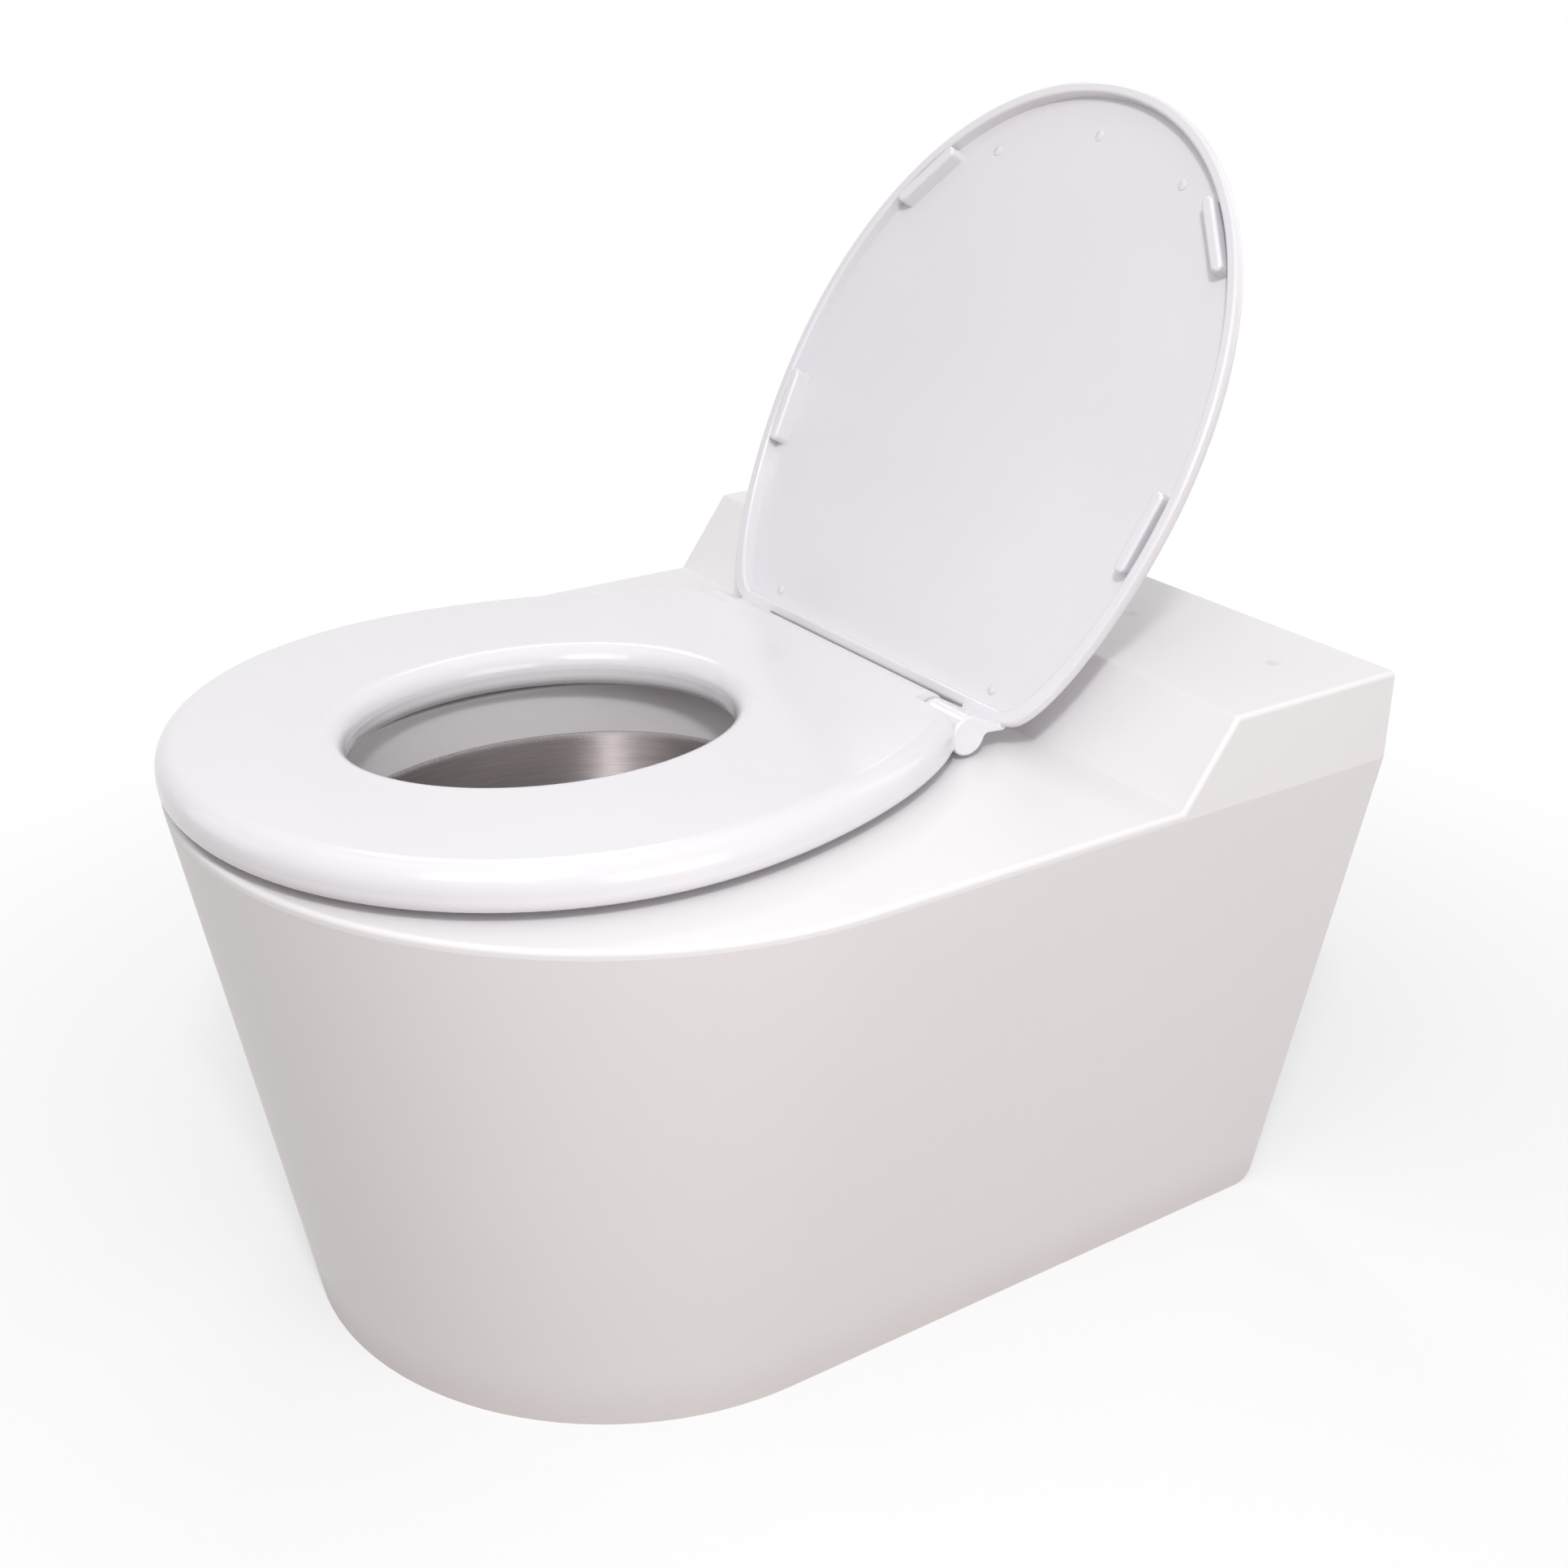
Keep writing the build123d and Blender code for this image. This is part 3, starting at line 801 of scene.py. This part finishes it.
@dataclass
class HingeHardware(SubAssembly):
    """Posts, rod, gaskets, studs, washers and nuts of the hinge.

    Attributes:
        nodes: Slot by node.
        pitch: Rise of the thread in one turn, in metres.
        thread_radius: Radius of the thread's ridge in metres.
        thread_start: Height of its first turn above the stud's end, in metres.
        thread_sides: Points round the ridge.
        steps_per_turn: Rings of the ridge in one turn.
    """

    nodes: Mapping[str, Slot] = field(default_factory=lambda: {
        "hinge_post_right": Slot.HINGE,
        "hinge_post_left": Slot.HINGE,
        "hinge_rod": Slot.HINGE,
        "hinge_studs": Slot.HINGE,
        "hinge_washers": Slot.HINGE,
        "hinge_nuts": Slot.HINGE,
        "hinge_gaskets": Slot.RUBBER,
    })
    pitch: float = 0.0015
    thread_radius: float = 0.00045
    thread_start: float = 0.0012
    thread_sides: int = 5
    steps_per_turn: int = 20

    def build(self) -> None:
        """Dresses the hardware and cuts the threads below the nuts."""
        self.finish_nodes(self.nodes)
        for name, side in (("stud_thread_right", 1), ("stud_thread_left", -1)):
            self.add_piece(name, self._thread(side), Slot.HINGE)

    def _thread(self, side: int) -> bmesh.types.BMesh:
        """Helical ridge on the free end of one stud.

        Args:
            side: 1 for the right stud, -1 for the left.

        Returns:
            The ridge's mesh.
        """
        low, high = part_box("hinge_studs")
        radius = (high.y - low.y) / 2
        bottom = low.z + self.thread_start
        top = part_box("hinge_nuts")[0].z
        turns = (top - bottom) / self.pitch
        centre = Vector((side * (high.x - radius), (low.y + high.y) / 2, 0))

        def path(share: float) -> Vector:
            """Point of the helix."""
            turn = 2 * math.pi * turns * share
            round_stud = Vector((radius * math.cos(turn), radius * math.sin(turn), 0))
            return centre + round_stud + Vector((0, 0, bottom + (top - bottom) * share))

        steps = int(turns * self.steps_per_turn)
        return tube_mesh(path, self.thread_radius, steps, self.thread_sides, False)


@dataclass
class SeatAssembly(SubAssembly):
    """Seat ring with its bushes and rubber feet."""

    body: Body = Body.SEAT
    nodes: Mapping[str, Slot] = field(default_factory=lambda: {
        "seat_ring": Slot.SEAT,
        "seat_bushes": Slot.BUSH,
        "seat_bumpers": Slot.RUBBER,
    })

    def build(self) -> None:
        """Dresses the seat."""
        self.finish_nodes(self.nodes)


@dataclass
class LidAssembly(SubAssembly):
    """Lid with its pads, bushes, caps and mould marks.

    Attributes:
        body: The lid.
        nodes: Slot by node.
        mark_places: Place of each mark, across the lid and forward from the hinge, in metres.
        mark_radius: Radius of a mark in metres.
        mark_rise: How far it stands proud, in metres.
        mark_sides: Points round it.
    """

    body: Body = Body.LID
    nodes: Mapping[str, Slot] = field(default_factory=lambda: {
        "lid_shell": Slot.SEAT,
        "lid_buffers": Slot.SEAT,
        "lid_bushes": Slot.BUSH,
        "lid_caps": Slot.SEAT,
    })
    mark_places: tuple[tuple[float, float], ...] = (
        (0.0, 0.428), (0.098, 0.404), (-0.098, 0.404), (0.128, 0.034), (-0.128, 0.034)
    )
    mark_radius: float = 0.0042
    mark_rise: float = 0.00035
    mark_sides: int = 40

    def build(self) -> None:
        """Dresses the lid and adds the marks of its mould."""
        self.finish_nodes(self.nodes)
        self.add_piece("lid_mould_marks", self._mould_marks(), Slot.SEAT)

    def _mould_marks(self) -> bmesh.types.BMesh:
        """Low round discs that the mould's pins left on the recess floor."""
        joint = next(joint for joint in self.frame["joints"] if joint["name"] == "lid_hinge")
        hinge = Vector(joint["pos_m"])
        shut = Matrix.Rotation(math.radians(joint["range_deg"][1]), 4, Vector(joint["axis"]))
        pads = self.frame["nodes"]["lid_buffers"].data.vertices
        floor = max((shut @ (vertex.co - hinge)).z for vertex in pads)
        mesh = bmesh.new()
        for across, reach in self.mark_places:
            centre = Vector((across, -reach, floor))
            rings = [
                [self._mark_point(mesh, centre, side, drop) for side in range(self.mark_sides)]
                for drop in (0.0, self.mark_rise)
            ]
            mesh.faces.new(rings[0])
            mesh.faces.new(list(reversed(rings[1])))
            for side in range(self.mark_sides):
                after = (side + 1) % self.mark_sides
                mesh.faces.new((rings[0][side], rings[0][after], rings[1][after], rings[1][side]))
        mesh.transform(Matrix.Translation(hinge) @ shut.inverted())
        return mesh

    def _mark_point(
        self, mesh: bmesh.types.BMesh, centre: Vector, side: int, drop: float
    ) -> bmesh.types.BMVert:
        """Point on the edge of one mark, in the shut lid.

        Args:
            mesh: The marks' mesh.
            centre: Middle of the mark on the recess floor.
            side: Number of the point round the mark.
            drop: How far it stands proud of the floor.

        Returns:
            The new point.
        """
        turn = 2 * math.pi * side / self.mark_sides
        reach = self.mark_radius - drop
        return mesh.verts.new(centre + Vector((reach * math.cos(turn), reach * math.sin(turn), -drop)))


@dataclass(frozen=True)
class Lamp:
    """Soft lamp that faces the toilet.

    Attributes:
        name: Name of the lamp.
        azimuth: Direction from the front towards +X, in degrees.
        elevation: Height above the horizon, in degrees.
        distance: Distance from the aim in metres.
        width: Width in metres.
        height: Height in metres.
        power: Power in watts.
    """

    name: str
    azimuth: float
    elevation: float
    distance: float
    width: float
    height: float
    power: float

    def hang(self, aim: Vector) -> None:
        """Hangs the lamp.

        Args:
            aim: Point that it faces.
        """
        light = bpy.data.lights.new(self.name, "AREA")
        light.shape = "RECTANGLE"
        light.size = self.width
        light.size_y = self.height
        light.energy = self.power
        azimuth, elevation = math.radians(self.azimuth), math.radians(self.elevation)
        level = self.distance * math.cos(elevation)
        out = Vector((
            level * math.sin(azimuth), -level * math.cos(azimuth), self.distance * math.sin(elevation)
        ))
        lamp = bpy.data.objects.new(self.name, light)
        lamp.location = aim + out
        lamp.rotation_euler = (-out).to_track_quat("-Z", "Y").to_euler()
        bpy.context.scene.collection.objects.link(lamp)
        LOG.info("%s hung", self.name)


@dataclass
class Studio:
    """Pale floor, soft lamps and the camera.

    Attributes:
        camera_place: Where the camera stands.
        camera_aim: Point that it looks at.
        camera_roll: Turn about its own view line, in degrees.
        sensor_width: Width of its sensor in millimetres.
        focal_share: Focal length over the picture's width.
        sight: Greatest distance that it sees, in metres.
        floor_size: Half the floor's width in metres.
        floor_seen: Colour of the floor as it is seen.
        floor_bounce: Colour of the light that it throws back.
        shadow_share: Share of the floor's own shading in the picture, near the object.
        shadow_reach: Where that share starts to fade and where it ends, in metres.
        fill: Strength of the even light from all round.
        lamp_aim: Point that the lamps face.
        lamps: The lamps.
    """

    camera_place: Colour = (1.1816, -0.9224, 0.9789)
    camera_aim: Colour = (0.0, -0.07812, 0.33358)
    camera_roll: float = 1.0
    sensor_width: float = 36.0
    focal_share: float = 1.3687
    sight: float = 100.0
    floor_size: float = 12.0
    floor_seen: Colour = linear(246, 246, 246)
    floor_bounce: Colour = linear(180, 171, 169)
    shadow_share: float = 0.55
    shadow_reach: tuple[float, float] = (0.45, 1.15)
    fill: float = 0.55
    lamp_aim: Colour = (0.0, -0.15, 0.35)
    lamps: tuple[Lamp, ...] = (
        Lamp("ceiling_lamp", 0.0, 90.0, 2.4, 2.4, 2.4, 7.0),
        Lamp("rear_lamp", 180.0, 20.0, 3.0, 2.0, 2.0, 8.0),
        Lamp("key_lamp", 46.0, 48.0, 2.6, 1.3, 1.3, 13.0),
        Lamp("spark_lamp", 57.0, 46.0, 2.6, 0.24, 0.24, 22.0),
        Lamp("back_lamp", -112.0, 50.0, 2.6, 0.9, 0.4, 6.0),
        Lamp("right_lamp", 98.0, 12.0, 2.8, 1.6, 1.6, 17.0),
        Lamp("left_lamp", -35.0, 15.0, 2.8, 1.6, 1.6, 5.0),
    )

    def build(self) -> None:
        """Makes the floor, the light and the camera."""
        self._add_floor()
        self._light_world()
        for lamp in self.lamps:
            lamp.hang(Vector(self.lamp_aim))
        self._add_camera()
        bpy.context.scene.view_settings.view_transform = "Standard"

    def _add_floor(self) -> None:
        """Large floor that looks white to the camera and still takes shadow."""
        mesh = bmesh.new()
        bmesh.ops.create_grid(mesh, x_segments=8, y_segments=8, size=self.floor_size)
        data = bpy.data.meshes.new("studio_floor")
        mesh.to_mesh(data)
        mesh.free()
        floor = bpy.data.objects.new("studio_floor", data)
        bpy.context.scene.collection.objects.link(floor)
        graph = Graph("studio_floor")
        seen = graph.seen()
        away = graph.distance(graph.place(), (0.0, 0.0, 0.0))
        shaded = (1 - away.between(*self.shadow_reach)) * self.shadow_share
        matt = graph.node("ShaderNodeBsdfDiffuse", inputs={
            "Color": graph.mixed(seen, self.floor_bounce, self.floor_seen)
        })
        white = graph.node("ShaderNodeEmission", inputs={"Color": (1.0, 1.0, 1.0), "Strength": 1.0})
        share = seen * (1 - shaded)
        data.materials.append(graph.finish(
            graph.node("ShaderNodeMixShader", inputs={0: share, 1: matt, 2: white})
        ))
        LOG.info("studio floor made")

    def _light_world(self) -> None:
        """Even white light all round, and white behind the object."""
        world = bpy.data.worlds.new("studio")
        bpy.context.scene.world = world
        graph = Graph("studio", world)
        fill = graph.node("ShaderNodeBackground", {"name": "fill"}, {"Strength": self.fill})
        white = graph.node("ShaderNodeBackground", inputs={"Color": (1.0, 1.0, 1.0), "Strength": 1.0})
        graph.finish(graph.node("ShaderNodeMixShader", inputs={0: graph.seen(), 1: fill, 2: white}))

    def _add_camera(self) -> None:
        """Camera at the photograph's place, lens and tilt."""
        data = bpy.data.cameras.new("view")
        data.sensor_fit = "HORIZONTAL"
        data.sensor_width = self.sensor_width
        data.lens = self.focal_share * self.sensor_width
        data.clip_end = self.sight
        place = Vector(self.camera_place)
        back = (place - Vector(self.camera_aim)).normalized()
        level = Vector((0, 0, 1)).cross(back).normalized()
        upright = back.cross(level)
        roll = math.radians(self.camera_roll)
        right = level * math.cos(roll) + upright * math.sin(roll)
        above = upright * math.cos(roll) - level * math.sin(roll)
        turned = Matrix((right, above, back)).transposed().to_4x4()
        camera = bpy.data.objects.new("view", data)
        camera.matrix_world = Matrix.Translation(place) @ turned
        bpy.context.scene.collection.objects.link(camera)
        bpy.context.scene.camera = camera
        LOG.info("camera placed")


def main() -> None:
    """Builds the studio and dresses the toilet."""
    logging.basicConfig(level=logging.INFO, format="%(name)s: %(message)s")
    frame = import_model()
    Studio().build()
    wardrobe = Wardrobe()
    for group in (PanShell, BowlAndPipes, HingeHardware, SeatAssembly, LidAssembly):
        group(frame, wardrobe).build()
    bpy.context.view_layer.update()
    LOG.info("all pieces in place")


if __name__ == "__main__":
    main()
